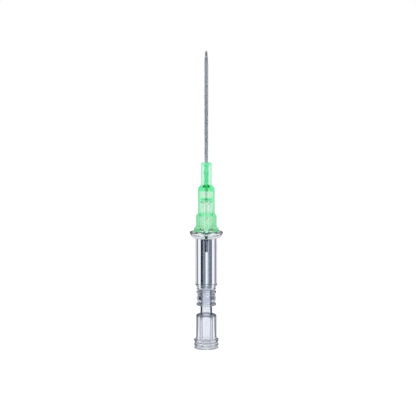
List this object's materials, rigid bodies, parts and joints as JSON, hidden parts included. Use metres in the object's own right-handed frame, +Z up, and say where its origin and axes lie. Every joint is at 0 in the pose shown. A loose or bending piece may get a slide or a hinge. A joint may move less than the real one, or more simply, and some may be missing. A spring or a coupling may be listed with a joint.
{
  "type": "iv cannula",
  "caption": "Straight over-the-needle IV cannula with a green luer hub, clear flash chamber and clear vent plug, standing on the plug.",
  "frame": {"origin": "centre of the circle on which the vent plug's foot stands", "axes": "+Z up the common axis towards the needle point, -Y the way the ground face of the point looks"},
  "size_m": [0.0104, 0.0104, 0.0929],
  "materials": {
    "clear_plastic": "clear, moulded, glossy",
    "green_plastic": "translucent green, moulded, glossy",
    "tube_polymer": "translucent, extruded, satin",
    "porous_plastic": "white, sintered, matt",
    "adhesive": "cured, clear, glossy",
    "steel": "drawn and ground"
  },
  "bodies": {
    "plug": {"vent_plug": "clear_plastic", "vent_filter": "porous_plastic"},
    "needle_unit": {"flash_chamber": "clear_plastic", "needle_adhesive": "adhesive", "needle": "steel"},
    "catheter": {"catheter_hub": "green_plastic", "catheter_wedge": "steel", "catheter_tube": "tube_polymer"}
  },
  "joints": [
    {"name": "plug_pull", "type": "slide", "parent": "plug", "child": "needle_unit", "axis": [0, 0, 1], "range_m": [0, 0.0065]},
    {"name": "catheter_advance", "type": "slide", "parent": "needle_unit", "child": "catheter", "axis": [0, 0, 1], "range_m": [0, 0.056]}
  ]
}
